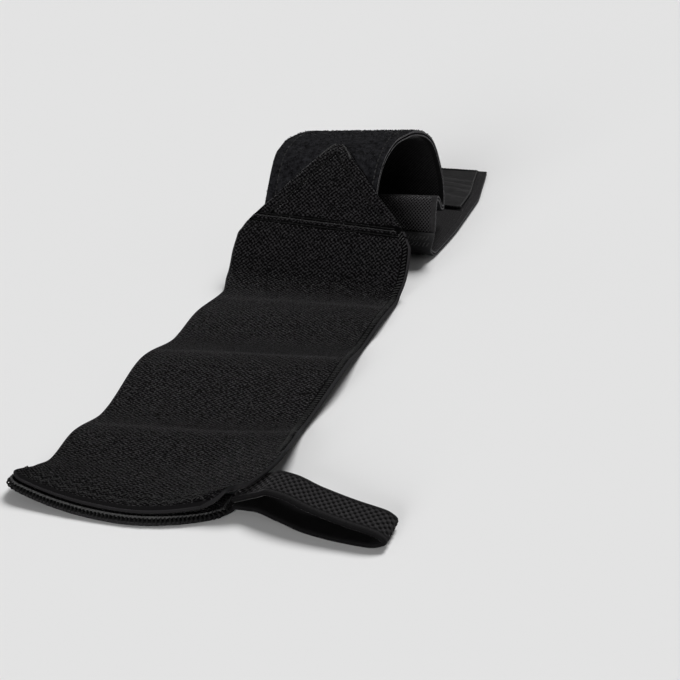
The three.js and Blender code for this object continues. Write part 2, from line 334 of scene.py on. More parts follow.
def feed(socket, value):
    """Links a socket to an output, or sets it to a plain value."""
    if isinstance(value, Output):
        value.tree.links.new(value.socket, socket)
    else:
        socket.default_value = value


def add(tree, kind, inputs=None, output=0, **settings):
    """A new node with its settings and its inputs, as one of its outputs."""
    node = tree.nodes.new(kind)
    for name, value in settings.items():
        setattr(node, name, value)
    for name, value in (inputs or {}).items():
        feed(node.inputs[name], value)
    return Output(tree, node.outputs[output])


def tree_of(values):
    """The tree of the first output among some values."""
    return next(value.tree for value in values if isinstance(value, Output))


def calc(operation, *values):
    """The result of one sum."""
    return add(tree_of(values), "ShaderNodeMath", dict(enumerate(values)), operation=operation)


def vector(*values):
    """A vector of three numbers or outputs."""
    return add(tree_of(values), "ShaderNodeCombineXYZ", dict(enumerate(values)))


def blend(share, first, second):
    """A value that goes from the first to the second as the share goes from 0 to 1."""
    return add(share.tree, "ShaderNodeMix", {0: share, 2: first, 3: second})


def remapped(value, low, high, to_low=0.0, to_high=1.0):
    """A value that is moved from one range to another and kept inside it."""
    ranges = {"From Min": low, "From Max": high, "To Min": to_low, "To Max": to_high}
    return add(value.tree, "ShaderNodeMapRange", {"Value": value, **ranges})


print("node helpers ready")

# %% [markdown]
# ## Finishes
# A finish is one Principled shader. Its gloss is plain values on the shader's own sockets, and a recipe of
# nodes gives its colour and its relief. The mesh of each cloth carries what a recipe needs: the distances
# across and along, which face a point is on, how far the relief lifts it and how far inside the edge it
# lies.

# %% Helpers for finishes
def shades(factor, dark, light, low=0.0, high=1.0):
    """A colour between two shades, as the factor goes from low to high."""
    colour = add(factor.tree, "ShaderNodeValToRGB", {"Fac": factor}, "Color")
    first, last = colour.socket.node.color_ramp.elements
    first.position = low
    last.position = high
    first.color = (*dark, 1)
    last.color = (*light, 1)
    return colour


def speckle(tree, scale):
    """Noise from 0 to 1 that keeps its place on the piece, with about that many grains in a metre."""
    place = add(tree, "ShaderNodeTexCoord", output="Object")
    return add(tree, "ShaderNodeTexNoise", {"Vector": place, "Scale": scale, "Detail": 2.0}, "Fac")


def cloth_axes(tree):
    """The distances across and along the cloth in metres, from the piece's own UV map."""
    place = add(tree, "ShaderNodeUVMap", uv_map="cloth")
    across = add(tree, "ShaderNodeSeparateXYZ", {"Vector": place}, "X")
    return across, across.beside("Y")


def on_cloth(tree, name):
    """A number that the cloth's mesh carries."""
    return add(tree, "ShaderNodeAttribute", output="Fac", attribute_name=name)


def on_rim(tree, share):
    """1 on the rolled edges of a cloth, over a share of its thickness, and 0 on its two faces."""
    return calc("ABSOLUTE", on_cloth(tree, "outer") * 2.0 - 1.0) < share


def dressed(colour, height, depth):
    """A shader's colour, and a relief of a depth in metres."""
    relief = {"Height": height, "Strength": 1.0, "Distance": depth}
    return {"Base Color": colour, "Normal": add(colour.tree, "ShaderNodeBump", relief, "Normal")}


def finish(name, gloss, recipe=None):
    """A material with a gloss, and with what a recipe makes for its shader."""
    material = bpy.data.materials.new(name)
    material.use_nodes = True
    shader = material.node_tree.nodes["Principled BSDF"]
    made = recipe(material.node_tree) if recipe else {}
    for socket, value in {**gloss, **made}.items():
        feed(shader.inputs[socket], value)
    print("finish:", name)
    return material


# %% [markdown]
# All the cloth is near black, so what tells the pieces apart is the weave, the sheen and the fuzz. The band
# is a close weave with small dark holes. It is darker at its sewn near end and along its bound right edge,
# and a painted highlight lightens it in a line just past each crest of its waves. A picture of a weave would
# blur close by. Here two waves, one across the cloth and one along it, make the holes, so they follow every
# bend at their real pitch.

# %% Woven elastic
CLOTH_GLOSS = {"Roughness": 0.9, "Specular IOR Level": 0.03, "Sheen Weight": 0.12, "Sheen Roughness": 0.1}
HOLE_COLUMN = 0.95 * MM
HOLE_PITCH = 1.8 * MM
STRAY_ACROSS = 1.4 * MM
STRAY_ALONG = 1.9 * MM
FRONT_RIM = 1.4 * MM
FOLD_LINE = 0.15 * MM
CREST_ROWS = (54, 117, 187)
CREST_HIGHLIGHT_WIDTH = 3 * MM
NEAR_STRIP = 10.5 * MM
BOUND_STRIP_MM = 3.6
BOUND_FROM = 34 * MM


def woven_elastic(tree):
    """A light weave with small dark holes, set like bricks, that are a little out of line."""
    across, along = cloth_axes(tree)
    column = (speckle(tree, 600) * STRAY_ACROSS + across) / HOLE_COLUMN
    row = (speckle(tree, 560) * STRAY_ALONG + along) / HOLE_PITCH
    bricks = calc("COSINE", column * math.pi) * calc("COSINE", row * (2 * math.pi))
    holes = remapped(bricks, -0.9, 0.5)
    height = (holes * -0.9 + 1.0) * (speckle(tree, 1300) * 3.8 - 0.98)
    past_start = along > BOUND_FROM
    before_seam = along < seam_at
    near_edge = on_cloth(tree, "inset") < BOUND_STRIP_MM
    bound = near_edge * past_start * before_seam * (across > 0.0)
    sewn = along < NEAR_STRIP
    height = height * (bound * -0.8 + 1.0) * (sewn * -0.25 + 1.0)
    height = blend(along < FRONT_RIM, height, 0.3)
    # Painted highlight: a lighter line across the band just past each crest of its waves.
    for crest in np.interp(np.array(CREST_ROWS) * MM, band.path["y"], band.path["along"]):
        crest_highlight = remapped(calc("ABSOLUTE", along - float(crest)), 0.0, CREST_HIGHLIGHT_WIDTH, 0.45, 0.0)
        height = blend(crest_highlight, height, 1.1)
    height = blend(along < FOLD_LINE, height, 0.65)
    height = blend(on_rim(tree, 0.8) * before_seam, height, past_start * 0.2 + 0.55)
    # Painted shade: the colour darkens where the relief sinks the cloth, in the seams and under rows of
    # stitches.
    sunk = (on_cloth(tree, "relief") + 0.55) * 3.5
    height = height * calc("MINIMUM", calc("MAXIMUM", sunk, 0.05), 1.0)
    colour = shades(height, (0.001, 0.001, 0.0011), (0.034, 0.0327, 0.0344), 0.17)
    return dressed(colour, height, 0.4 * MM)


ELASTIC = finish("woven_elastic", CLOTH_GLOSS, woven_elastic)

# %% [markdown]
# The thumb loop is a coarser tape whose raised pads are real geometry. Its finish paints light on the pads,
# which the mesh marks with an attribute, and a little on the smooth inner face.

# %% Narrow elastic of the thumb loop
TAPE_CORD = 0.6 * MM


def pad_elastic(tree):
    """Fine cords along the tape, with painted light on the raised pads and on the smooth inner face."""
    across = cloth_axes(tree)[0]
    cords = calc("COSINE", across * (2 * math.pi / TAPE_CORD))
    # Painted light: the raised pads are lighter and the hollows between them darker, and the inner face is a
    # little lighter.
    raised = on_cloth(tree, "relief") * 2.8 + on_cloth(tree, "outer") * 0.18
    grain = speckle(tree, 1400) * 0.8 + 0.6
    return dressed(shades(raised * grain, (0.0012, 0.0012, 0.0013), (0.034, 0.0328, 0.034)), cords, 0.05 * MM)


PADS = finish("pad_elastic", CLOTH_GLOSS, pad_elastic)

# %% [markdown]
# The pile is brushed: no weave shows, only soft clumps, and noise in two sizes is enough for them. The net
# behind it is a fine diamond mesh with a plain border, and it shows where the strap folds over. Its threads
# are far thinner than a pixel, so two crossed waves stand for them.

# %% Pile and net
PILE_GLOSS = {**CLOTH_GLOSS, "Sheen Weight": 0.04}
RIM_PAINTED_LIGHT = (0.15, 0.147, 0.152)
NET_PITCH = 1.5 * MM
NET_BORDER = 2.2 * MM
NET_SHADE_TO = 120 * MM
NET_LIT_FROM = 160 * MM


def painted_rim_light(colour):
    """Cut edges fray a little, and painted light makes them lighter than the faces."""
    tree = colour.tree
    # Painted light: the rolled edges are lighter than the faces, with a fraying speckle.
    frayed_and_lit = shades(speckle(tree, 1500), (0.025, 0.025, 0.026), RIM_PAINTED_LIGHT, 0.3, 0.7)
    edges = {0: on_rim(tree, 0.6), 6: colour, 7: frayed_and_lit}
    return add(tree, "ShaderNodeMix", edges, 2, data_type="RGBA")


def brushed_pile(tree):
    """Clumps of brushed loops."""
    clumps = speckle(tree, 420) * 0.6 + speckle(tree, 1100) * 0.5
    soft = shades(clumps, (0.002, 0.002, 0.0023), (0.02, 0.02, 0.0225), 0.38, 0.72)
    return dressed(painted_rim_light(soft), clumps, 0.5 * MM)


def pile_fibre(tree):
    """One colour for the loops that stand out of the pile."""
    colour = shades(speckle(tree, 520), (0.0025, 0.0025, 0.0028), (0.029, 0.029, 0.0318), 0.36, 0.68)
    return {"Base Color": colour}


def diamond_net(tree):
    """A fine diamond mesh with a plain border along each edge, with painted shade in the arch and painted
    light on the fold.
    """
    across, along = cloth_axes(tree)
    scale = math.pi / NET_PITCH
    rising = calc("ABSOLUTE", calc("SINE", (across + along) * scale))
    falling = calc("ABSOLUTE", calc("SINE", (across - along) * scale))
    holes = rising * falling * -1.25 + 1.0
    plain = calc("ABSOLUTE", across) > STRAP_WIDTH / 2 - NET_BORDER
    woven = blend(plain, holes, 0.3) * (speckle(tree, 600) + 0.5)
    # Painted shade and light: darker up to 120 mm along the strap, over the arch, and lighter from 160 mm on,
    # on the front wall of the fold and past it.
    height = woven * remapped(along, NET_SHADE_TO, NET_LIT_FROM, 0.3, 1.6)
    soft = shades(height, (0.002, 0.002, 0.0021), (0.042, 0.0405, 0.042), 0.05, 0.9)
    return dressed(painted_rim_light(soft), height, 0.25 * MM)


PILE = finish("brushed_pile", PILE_GLOSS, brushed_pile)
FIBRE = finish("pile_fibre", PILE_GLOSS, pile_fibre)
NET = finish("diamond_net", CLOTH_GLOSS, diamond_net)

# %% [markdown]
# The hook tape is moulded nylon, so it has a little gloss. The patch on the tab is a fine satin whose
# threads run along the strap, so a wave across it is enough. The sewing thread comes in three shades, which
# are painted shade and painted light: dark where it sinks into the cloth, and lighter where it lies on top.

# %% Hook tape, satin and thread
NYLON_GLOSS = {"Roughness": 0.5, "Specular IOR Level": 0.25}
SATIN_GLOSS = {"Roughness": 0.5, "Specular IOR Level": 0.03, "Sheen Weight": 0.01}
THREAD_GLOSS = {**CLOTH_GLOSS, "Roughness": 0.7}
SATIN_THREAD = 0.45 * MM


def hook_nylon(tree):
    """Dark nylon, a little uneven."""
    grain = speckle(tree, 1500)
    return dressed(shades(grain, (0.005, 0.005, 0.0055), (0.015, 0.015, 0.016)), grain, 0.05 * MM)


def patch_satin(tree):
    """Close threads with a soft gloss, with a painted highlight on the wrinkles."""
    across = cloth_axes(tree)[0]
    threads = calc("SINE", across * (2 * math.pi / SATIN_THREAD))
    # Painted highlight: the satin is lighter where the wrinkles lift it.
    grain = threads * 0.12 + speckle(tree, 420) + on_cloth(tree, "relief") * 0.7
    return dressed(shades(grain, (0.003, 0.0028, 0.003), (0.022, 0.021, 0.022), 0.25), threads, 0.03 * MM)


def sewing_thread(name, dark, light):
    """Spun thread between two shades of grey."""
    def spun_grain(tree):
        grain = speckle(tree, 1800)
        return dressed(shades(grain, (dark,) * 3, (light,) * 3, 0.3, 0.7), grain, 0.08 * MM)

    return finish(name, THREAD_GLOSS, spun_grain)


NYLON = finish("hook_nylon", NYLON_GLOSS, hook_nylon)
SATIN = finish("patch_satin", SATIN_GLOSS, patch_satin)
# Painted shade and light: one sewing thread in three shades, darker where it sinks and lighter where it lies
# on top.
DARK_THREAD = sewing_thread("dark_thread", 0.004, 0.014)
PALE_THREAD = sewing_thread("pale_thread", 0.015, 0.04)
LIGHT_THREAD = sewing_thread("light_thread", 0.03, 0.075)

# %% [markdown]
# ## The mesh of a cloth
# A cloth could be a plane with Solidify, but then its rim would be a sharp square edge. Drawing the whole
# oval section gives a rolled edge and rounded ends, and the UV map gets real distances: metres across and
# metres along. A relief moves the two faces in or out, for wrinkles, seams and the pads of the loop.

# %% Helpers for the mesh
EDGE_TURN = np.radians(np.linspace(90, -90, 9)[1:-1])
END_TURN = np.radians((12, 38, 64))


def shown(name, data):
    """A new object in the scene."""
    thing = bpy.data.objects.new(name, data)
    bpy.context.scene.collection.objects.link(thing)
    return thing


def rounded_off(reach, along, radius):
    """A reach to one side that is cut back round the corner at the start of a cloth."""
    short = radius - np.clip(along, 0, radius)
    return reach - radius + np.sqrt(radius**2 - short**2)


def ring_faces(rings, around, columns):
    """Faces between neighbouring sections, and the two ends."""
    i = np.arange(around)
    after = (i + 1) % around
    ring = np.arange(rings - 1)[:, None] * around
    sides = np.stack([ring + i, ring + after, ring + around + after, ring + around + i], axis=-1)
    faces = sides.reshape(-1, 4).tolist()
    turn = len(EDGE_TURN)
    for first, flip in ((0, True), ((rings - 1) * around, False)):
        top = [first + k for k in range(columns + 1)]
        under = [first + 2 * columns + turn + 1 - k for k in range(columns + 1)]
        strips = [[top[k], top[k + 1], under[k + 1], under[k]] for k in range(columns)]
        strips.append([top[-1] + k for k in range(turn + 2)])
        strips.append([under[0] + k for k in range(turn + 1)] + [top[0]])
        faces += [strip[::-1] if flip else strip for strip in strips]
    return faces


def write_cloth_map(mesh, across, along):
    """A UV map with the distances across and along in metres."""
    corners = np.zeros(len(mesh.loops), np.int32)
    mesh.loops.foreach_get("vertex_index", corners)
    layer = mesh.uv_layers.new(name="cloth")
    layer.uv.foreach_set("vector", np.stack([across, along], axis=1)[corners].astype(np.float32).ravel())


def write_values(mesh, name, values):
    """One number for each point of the mesh."""
    attribute = mesh.attributes.new(name, "FLOAT", "POINT")
    attribute.data.foreach_set("value", np.asarray(values, np.float32).ravel())


# %% Sweep a section along a cloth
def cloth_object(name, cloth, span, spacing, finish, relief=None, edge=None, corners=(0, 0)):
    """A closed piece of cloth between two distances along it, with its first two corners rounded off."""
    half = cloth.thick / 2
    start, end = span
    middle = np.linspace(start + half, end - half, max(3, round((end - start) / spacing)))
    tail = half * (1 - np.cos(END_TURN))
    along = np.concatenate([start + tail, middle, end - tail[::-1]])[:, None]
    full = np.concatenate([np.sin(END_TURN), np.ones(len(middle)), np.sin(END_TURN)[::-1]])[:, None]
    left, right = (rounded_off(*values) for values in zip(cloth.reach(along), (along, along), corners))
    rolled = np.minimum(edge or half, 0.9 * np.minimum(left, right))
    columns = round(cloth.width / spacing)
    share = np.linspace(0, 1, columns + 1)[None, :]
    flat = rolled - left + share * (left + right - 2 * rolled)
    right_turn = right - rolled + rolled * np.cos(EDGE_TURN)
    left_turn = rolled - left - rolled * np.cos(EDGE_TURN)
    side = np.concatenate([flat, right_turn, flat[:, ::-1], left_turn], axis=1)
    ones = np.ones(columns + 1)
    face = np.concatenate([ones, np.sin(EDGE_TURN), -ones, -np.sin(EDGE_TURN)])[None, :]
    raised = relief(along, side, face) if relief else np.zeros(side.shape)
    points = cloth.point(along, side, face * (half + raised) * full)
    rings, around = side.shape
    mesh = bpy.data.meshes.new(name)
    mesh.from_pydata(points.reshape(-1, 3), [], ring_faces(rings, around, columns))
    write_cloth_map(mesh, side.ravel(), np.broadcast_to(along, side.shape).ravel())
    write_values(mesh, "outer", np.broadcast_to(face * 0.5 + 0.5, side.shape))
    write_values(mesh, "relief", raised / MM)
    write_values(mesh, "inset", np.minimum(side + left, right - side) / MM)
    mesh.materials.append(finish)
    mesh.shade_smooth()
    print(f"{name}: {len(mesh.polygons)} faces")
    return shown(name, mesh)


# %% [markdown]
# ## The band
# The band is one thick elastic. Its point is sewn down with a double seam at its base and a row of stitches
# along its two slanting edges, and the cloth sinks a little under each row. A bump in the finish would lose
# these rows at the rim, so they are in the mesh. The long edges are bound by an overlock, so they are
# squeezed to a thin oval.

# %% Band and hem
EDGE_ROLL = 2.2 * MM
OVERLOCK_REACH = 2.8 * MM
SEAM_LINES = (0.0, 3.2 * MM)
SEAM_SLANT = 0.04
BORDER_INSET = 4.4 * MM
NEAR_ROWS = (4.4 * MM, 8.4 * MM)
BAND_CORNERS = (6 * MM, 4 * MM)
HEM_CORNER = 6 * MM
SEAM_SUNK = 0.68 * MM
BORDER_SUNK = 0.3 * MM
NEAR_SUNK = 0.25 * MM
UNEVEN = 0.12 * MM
PUCKER = 0.1 * MM


def ridge(distance, width):
    """A soft ridge across a line."""
    return np.exp(-((distance / width) ** 2))


def border_side(along, inset):
    """How far from the middle the border row runs on the point, whose edges slant at about 45 degrees."""
    return band.reach(along)[1] - inset * math.sqrt(2)


def band_relief(along, side, face):
    """Sunk seams, puckers beside them and a slow unevenness."""
    past_seam = along - seam_at + SEAM_SLANT * side
    sunk = sum(ridge(past_seam + drop, 1.0 * MM) for drop in SEAM_LINES)
    pucker = np.sin(side / (0.9 * MM)) * ridge(past_seam, 5 * MM)
    border = border_side(along, BORDER_INSET)
    slanting = ridge(np.abs(side) - border, 1.2 * MM) * (along > seam_at) * (border > 0)
    slanting = slanting * np.where(side < 0, 1.5, 1)
    near = ridge(along - sum(NEAR_ROWS) / 2, 4 * MM)
    waver = np.sin(along / (7 * MM) + 2 * np.sin(side / (11 * MM)))
    uneven = waver * np.sin(side / (8 * MM) + along / (23 * MM))
    sewn = SEAM_SUNK * np.minimum(sunk, 1) + BORDER_SUNK * slanting + NEAR_SUNK * near
    return UNEVEN * uneven + PUCKER * pucker - sewn


band_cloth = cloth_object(
    "band_cloth", band, (0, band.length), 0.8 * MM, ELASTIC, band_relief, EDGE_ROLL, BAND_CORNERS
)
hem_cloth = cloth_object(
    "hem_cloth", hem, (0, hem.length), 1.0 * MM, ELASTIC, edge=OVERLOCK_REACH, corners=(HEM_CORNER,) * 2
)

# %% [markdown]
# ## The thumb loop
# The loop is narrow elastic with raised pads in a checked weave. At this size the pads would be lost in a
# bump map when seen from the side, so they are part of the mesh. The inner face is smooth, and the selvages
# are plain cords.

# %% Thumb loop
PAD_ACROSS = 1.6 * MM
PAD_ALONG = 1.1 * MM
SELVAGE = 2.4 * MM
PAD_HEIGHT = 0.36 * MM
CORD_HEIGHT = 0.19 * MM


def loop_relief(along, side, face):
    """Pads in a check on the outer face, and a rounded cord along each edge."""
    check = np.sin(np.pi * side / PAD_ACROSS) * np.sin(np.pi * along / PAD_ALONG)
    inner = LOOP_WIDTH / 2 - SELVAGE
    woven = 1 / (1 + np.exp((np.abs(side) - inner) / (0.15 * MM)))
    cord = ridge(np.abs(side) - LOOP_WIDTH / 2 + SELVAGE / 2, 0.9 * MM)
    pads = woven * (0.5 + 0.5 * np.tanh(2.4 * check + 0.1))
    return (PAD_HEIGHT * pads + CORD_HEIGHT * cord) * (face < 0)


loop_cloth = cloth_object("loop_cloth", loop, (0, loop.length), 0.26 * MM, PADS, loop_relief)

# %% [markdown]
# ## The strap
# The strap is a net-backed webbing. Pile is sewn to its outer face up to the tab, and hook tape to the
# inner face of the tab. The layers are separate pieces, as on the real strap, so its rim shows two thin
# edges.

# %% Web, pile and hook tape
HOOK_BASE = 0.55 * MM
CLUMP_HEIGHT = 0.12 * MM
hook_base = Cloth(strap_path, STRAP_WIDTH, HOOK_BASE, -strap_outer - HOOK_BASE / 2)


def pile_relief(along, side, face):
    """Clumps of brushed pile."""
    waver = np.sin(along / (1.3 * MM) + 3 * np.sin(side / (2.9 * MM)))
    clumps = waver * np.sin(side / (1.1 * MM) + along / (4.7 * MM))
    return CLUMP_HEIGHT * clumps * (face > 0)


web_cloth = cloth_object("web_cloth", web, (0, strap_length), 1.2 * MM, NET)
pile_cloth = cloth_object("pile_cloth", pile, (0, tab_seam), 1.0 * MM, PILE, pile_relief)
hook_cloth = cloth_object("hook_cloth", hook_base, (tab_seam, strap_length), 1.2 * MM, NYLON)

# %% [markdown]
# ## The satin patch
# The patch is thin, and pulls into a few slanting wrinkles where the tab was bent. They could be sculpted.
# Here each is a ridge along a line on the patch, one row in a table, so that it can be moved by its
# numbers.

# %% Patch, with its wrinkles in millimetres
WRINKLES = [
    dict(along=20, side=8, slope=-0.35, height=0.6),
    dict(along=30, side=10, slope=-0.25, height=0.8),
    dict(along=38, side=9, slope=-0.2, height=0.9),
    dict(along=46, side=8, slope=-0.12, height=0.7),
]
WRINKLE_WIDTH = 1.3 * MM
WRINKLE_REACH = 13 * MM
patch_end = strap_length - PATCH_BORDER
patch_start = patch_end - PATCH_LENGTH


def patch_relief(along, side, face):
    """Slanting wrinkles that fade towards the left edge, on the upper face alone."""
    height = 0
    for row in WRINKLES:
        off_line = along - patch_start - row["along"] * MM - row["slope"] * (side - row["side"] * MM)
        reach = ridge(side - row["side"] * MM, WRINKLE_REACH)
        height = height + row["height"] * ridge(off_line, WRINKLE_WIDTH) * reach
    return height * MM * (face > 0)


patch_cloth = cloth_object("patch_cloth", patch, (patch_start, patch_end), 0.7 * MM, SATIN, patch_relief)

# %% [markdown]
# ## Threads by Geometry Nodes
# Stitches, overlock threads and hooks are all the same idea: one small shape, laid many times along lines
# on the cloth. The lines are drawn with the cloth's own points, and each seed carries a heading along the
# row and an upright off the cloth. One tree lays the shape on every seed, with sizes as named inputs and a
# fixed seed for its small irregularities.

# %% Lines on a cloth
def unit(vectors):
    """Vectors of length one."""
    return vectors / np.linalg.norm(vectors, axis=1, keepdims=True)


def line_on(cloth, along, side, pitch, face=1, lift=0.0, from_middle=False):
    """Seeds a pitch apart on a line over one face of a cloth, with their headings and uprights."""
    along, side = (np.array(values, float) for values in np.broadcast_arrays(along, side))
    depth = 0.0 if from_middle else face * (cloth.thick / 2 + lift)
    places = cloth.point(along, side, depth)
    above = cloth.point(along, side, depth + face * MM)
    travelled = np.concatenate([[0], np.cumsum(np.linalg.norm(np.diff(places, axis=0), axis=1))])
    stops = np.arange(pitch / 2, travelled[-1], pitch)

    def even(values):
        return np.stack([np.interp(stops, travelled, column) for column in values.T], axis=1)

    return even(places), unit(even(np.gradient(places, axis=0))), unit(even(above - places))


def joined(*lines):
    """Several lines of seeds as one."""
    return tuple(np.concatenate(parts) for parts in zip(*lines))


def seed_mesh(name, seeds):
    """A mesh of loose points that carry a heading and an upright."""
    places, headings, uprights = seeds
    mesh = bpy.data.meshes.new(name)
    mesh.from_pydata(places, [], [])
    for label, vectors in (("heading", headings), ("upright", uprights)):
        attribute = mesh.attributes.new(label, "FLOAT_VECTOR", "POINT")
        attribute.data.foreach_set("vector", vectors.astype(np.float32).ravel())
    return mesh


# %% Small helpers for trees of geometry
def new_tree(name, sizes):
    """An empty tree, and its inputs by name: a geometry, sizes and a finish."""
    tree = bpy.data.node_groups.new(name, "GeometryNodeTree")
    tree.interface.new_socket("Seeds", in_out="INPUT", socket_type="NodeSocketGeometry")
    for label, value in sizes.items():
        socket = tree.interface.new_socket(label, in_out="INPUT", socket_type="NodeSocketFloat")
        socket.default_value = value
    tree.interface.new_socket("Finish", in_out="INPUT", socket_type="NodeSocketMaterial")
    tree.interface.new_socket("Pieces", in_out="OUTPUT", socket_type="NodeSocketGeometry")
    given = tree.nodes.new("NodeGroupInput").outputs
    return tree, {socket.name: Output(tree, socket) for socket in given}


def named(tree, label, kind):
    """An attribute that the seeds carry."""
    return add(tree, "GeometryNodeInputNamedAttribute", {"Name": label}, data_type=kind)


def random_value(tree, low, high, seed):
    """A different number for each seed point, the same on every run."""
    limits = {2: low, 3: high, "Seed": seed}
    return add(tree, "FunctionNodeRandomValue", limits, 1, data_type="FLOAT")


def spun(rotation, axis, angle):
    """A rotation that is turned further about one of its own axes."""
    spin = add(angle.tree, "FunctionNodeAxisAngleToRotation", {"Axis": axis, "Angle": angle})
    turn = {"Rotation": rotation, "Rotate By": spin}
    return add(angle.tree, "FunctionNodeRotateRotation", turn, rotation_space="LOCAL")


def tube(curve, radius, sides):
    """A closed tube along a curve."""
    ring = {"Resolution": sides, "Radius": radius}
    profile = add(curve.tree, "GeometryNodeCurvePrimitiveCircle", ring, mode="RADIUS")
    swept = {"Curve": curve, "Profile Curve": profile, "Fill Caps": True}
    return add(curve.tree, "GeometryNodeCurveToMesh", swept)


# %% The tree that lays a shape on every seed
def finish_tree(points, shape, rotation, scale, finish):
    """Instances on the points, made real, smooth and painted."""
    tree = points.tree
    placed = {"Points": points, "Instance": shape, "Rotation": rotation, "Scale": vector(scale, scale, scale)}
    real = add(tree, "GeometryNodeRealizeInstances", {0: add(tree, "GeometryNodeInstanceOnPoints", placed)})
    smooth = add(tree, "GeometryNodeSetShadeSmooth", {0: real})
    painted = add(tree, "GeometryNodeSetMaterial", {"Geometry": smooth, "Material": finish})
    feed(tree.nodes.new("NodeGroupOutput").inputs[0], painted)


def laying_tree(name, shape_of, **sizes):
    """Lays one shape on each seed: X along its heading, Z along its upright, turned by a slant."""
    tree, given = new_tree(name, {**sizes, "Slant": 0.0, "Swing": 0.0, "Jitter": 0.06, "Spread": 0.06})
    upright = {"Vector": named(tree, "upright", "FLOAT_VECTOR")}
    stood = add(tree, "FunctionNodeAlignRotationToVector", upright, axis="Z")
    heading = {"Rotation": stood, "Vector": named(tree, "heading", "FLOAT_VECTOR")}
    ahead = add(tree, "FunctionNodeAlignRotationToVector", heading, axis="X", pivot_axis="Z")
    parity = calc("FLOORED_MODULO", add(tree, "GeometryNodeInputIndex"), 2.0)
    swing = given["Swing"] * (parity * 2.0 - 1.0)
    shake = random_value(tree, given["Jitter"] * -1.0, given["Jitter"], 11)
    rotation = spun(ahead, (0, 0, 1), given["Slant"] + swing + shake)
    scale = random_value(tree, calc("SUBTRACT", 1.0, given["Spread"]), given["Spread"] + 1.0, 23)
    finish_tree(given["Seeds"], shape_of(tree, given), rotation, scale, given["Finish"])
    return tree


def grow(name, mesh, tree, finish, **sizes):
    """Runs a tree on a mesh and keeps the result as a plain mesh."""
    piece = shown(name, mesh)
    modifier = piece.modifiers.new("grow", "NODES")
    modifier.node_group = tree
    chosen = {**sizes, "Finish": finish}
    for item in tree.interface.items_tree:
        if item.in_out == "INPUT" and item.name in chosen:
            modifier[item.identifier] = chosen[item.name]
    evaluated = piece.evaluated_get(bpy.context.evaluated_depsgraph_get())
    grown = bpy.data.meshes.new_from_object(evaluated)
    piece.modifiers.remove(modifier)
    piece.data = grown
    print(f"{name}: {len(grown.polygons)} faces")
    return piece


# %% Shapes of a stitch, an overlock thread and a hook
def stitch_shape(tree, given):
    """A short bowed thread whose ends dip into the cloth."""
    length, thread = given["Length"], given["Thread"]
    dip = thread * -0.9
    ends = {"Start": vector(length * -0.5, 0.0, dip), "End": vector(length * 0.5, 0.0, dip)}
    bow = {"Resolution": 5, "Middle": vector(0.0, 0.0, thread * 1.5), **ends}
    return tube(add(tree, "GeometryNodeCurveQuadraticBezier", bow), thread, 6)


def overlock_shape(tree, given):
    """A thread that wraps the edge in half an oval, from the upper face round to the lower one."""
    turn = {"Resolution": 9, "Radius": 1.0, "Start Angle": -math.pi / 2, "Sweep Angle": math.pi}
    arc = add(tree, "GeometryNodeCurveArc", turn, mode="RADIUS")
    oval = {"Scale": vector(given["Reach"], given["Height"], 1.0), "Rotation": (math.pi / 2, 0, 0)}
    return tube(add(tree, "GeometryNodeTransform", {"Geometry": arc, **oval}), given["Thread"], 6)


def hook_shape(tree, given):
    """A stem that bends over at the top."""
    height = given["Height"]
    crook = {"Resolution": 4, "Start": (0, 0, 0), "Middle": vector(0.0, 0.0, height * 1.75)}
    crook["End"] = vector(height * 0.75, 0.0, height * 0.35)
    return tube(add(tree, "GeometryNodeCurveQuadraticBezier", crook), given["Thread"], 4)


STITCHES = laying_tree("stitches", stitch_shape, Length=2.4 * MM, Thread=0.28 * MM)
WRAP_REACH = OVERLOCK_REACH - 0.15 * MM
OVERLOCK = laying_tree("overlock", overlock_shape, Reach=WRAP_REACH, Height=1.0 * MM, Thread=0.32 * MM)
HOOKS = laying_tree("hooks", hook_shape, Height=0.5 * MM, Thread=0.13 * MM)
print("trees:", [tree.name for tree in bpy.data.node_groups])

# %% [markdown]
# ## Overlocked edges
# An overlock wraps thread round a raw edge, one loop beside the next. On the right edge of the band the
# loops are pulled tight: they show as short rungs on both faces, and the edge between them is smooth. On
# the left edge they are lost in the weave, so none are laid. Round the hem the loops stay full, so each is
# a thread that wraps half an oval, and a chain of light thread ties them together on top. The seeds of a
# wrap sit in the middle of the cloth, a little inside the edge, and face out.

# %% Rungs along the band
RUNG_PITCH = 1.4 * MM
RUNG_LENGTH = 2.7 * MM
RUNG_INSET = 2.4 * MM
RUNG_SUNK = 0.12 * MM
LONG_STEPS = 900
TIDY = dict(Jitter=0.05, Spread=0.04)


def facing_out(seeds):
    """Seeds turned from along the row to across it."""
    places, headings, uprights = seeds
    return places, unit(np.cross(headings, uprights)), uprights


def sew(name, seeds, thread, **sizes):
    """A row of stitches in one thread."""
    return grow(name, seed_mesh(name + "_line", seeds), STITCHES, thread, **sizes)


rung_along = np.linspace(BOUND_FROM, seam_at - 3 * MM, LONG_STEPS)
rung_side = band.reach(rung_along)[1] - RUNG_INSET
rung_rows = [line_on(band, rung_along, rung_side, RUNG_PITCH, face, -RUNG_SUNK) for face in (1, -1)]
rungs = joined(*(facing_out(row) for row in rung_rows))
band_rungs = sew("band_rungs", rungs, PALE_THREAD, Length=RUNG_LENGTH, Slant=0.55, **TIDY)

# %% Wraps and chain round the hem
OVERLOCK_PITCH = 1.3 * MM
CHAIN_INSET = 1.5 * MM
HEM_LIFT = 0.55 * MM
SIDE_STEPS = 40
LINE_STEPS = 300


